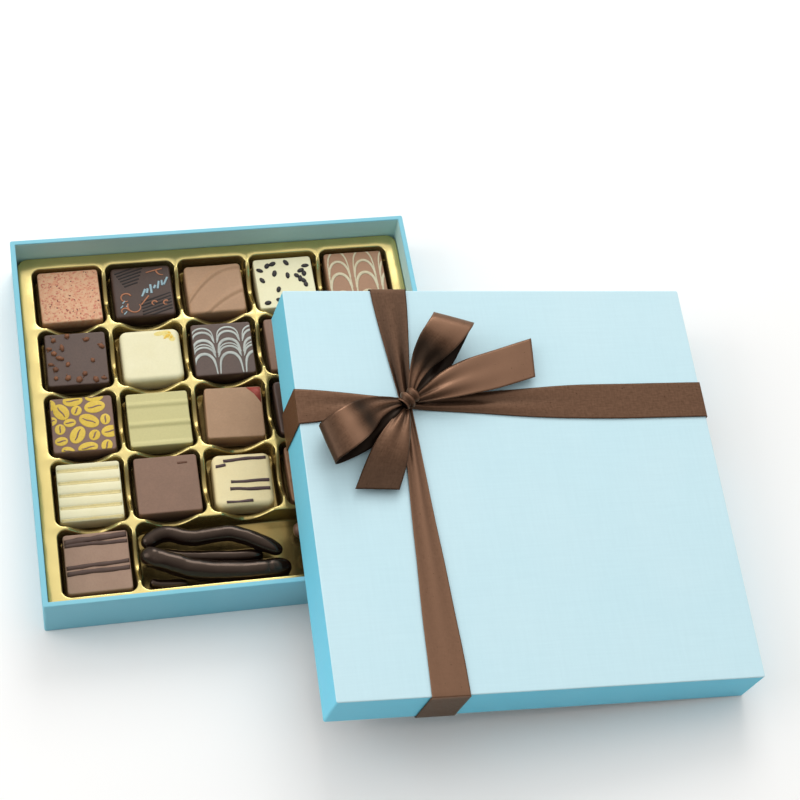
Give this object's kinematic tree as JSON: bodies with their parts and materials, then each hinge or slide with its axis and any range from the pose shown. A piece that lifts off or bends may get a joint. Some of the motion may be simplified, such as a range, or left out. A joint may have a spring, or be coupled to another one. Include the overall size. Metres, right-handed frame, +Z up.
{
  "type": "box of chocolates",
  "caption": "Square presentation box of chocolates: open base with a gold tray of pralines and peel sticks, and a ribboned lift-off lid leaning on the base.",
  "frame": {"origin": "middle of the base box's underside, on the surface it stands on", "axes": "+Z up; +X and +Y along the base box's sides, the lid leaning towards +X and -Y"},
  "size_m": [0.2707, 0.2233, 0.0605],
  "materials": {
    "box_paper": "laid paper over board, matte",
    "gold_tray": "thermoformed tray, metallised gold, glossy",
    "ribbon_satin": "satin weave, soft sheen",
    "dark_chocolate": "satin",
    "milk_chocolate": "satin",
    "pale_milk_chocolate": "satin",
    "ivory_chocolate": "satin",
    "rose_chocolate": "speckled, satin",
    "pistachio_chocolate": "satin",
    "mauve_chocolate": "printed, satin",
    "coated_peel": "glossy"
  },
  "bodies": {
    "root": {"base_box": "box_paper", "tray": "gold_tray", "praline_11_rose_speckled": "rose_chocolate", "praline_12_dark_printed": "dark_chocolate", "praline_13_milk_creased": "milk_chocolate", "praline_14_ivory_sesame": "ivory_chocolate", "praline_15_milk_feathered": "pale_milk_chocolate", "praline_21_dark_nibs": "dark_chocolate", "praline_22_ivory_rounded": "ivory_chocolate", "praline_23_dark_feathered": "dark_chocolate", "praline_24_milk_plain": "milk_chocolate", "praline_25_ivory_ridged_back": "ivory_chocolate", "praline_31_mauve_beans": "mauve_chocolate", "praline_32_pistachio_stepped": "pistachio_chocolate", "praline_33_milk_red_corner": "milk_chocolate", "praline_34_dark_plain": "dark_chocolate", "praline_35_rose_plain": "rose_chocolate", "praline_41_ivory_ridged": "ivory_chocolate", "praline_42_milk_dashed": "milk_chocolate", "praline_43_ivory_drizzled": "ivory_chocolate", "praline_44_milk_stepped": "pale_milk_chocolate", "praline_45_dark_striped": "dark_chocolate", "praline_51_milk_striped": "pale_milk_chocolate", "peel_dark_back": "coated_peel", "peel_dark_front": "coated_peel", "peel_dark_middle": "coated_peel", "peel_dark_short": "coated_peel", "peel_milk_back": "milk_chocolate", "peel_milk_front": "milk_chocolate", "peel_milk_top": "milk_chocolate", "lid": "box_paper", "ribbon_long": "ribbon_satin", "ribbon_cross": "ribbon_satin", "bow_loop_right": "ribbon_satin", "bow_loop_left": "ribbon_satin", "bow_tail_right": "ribbon_satin", "bow_tail_left": "ribbon_satin", "bow_knot": "ribbon_satin"}
  },
  "joints": []
}
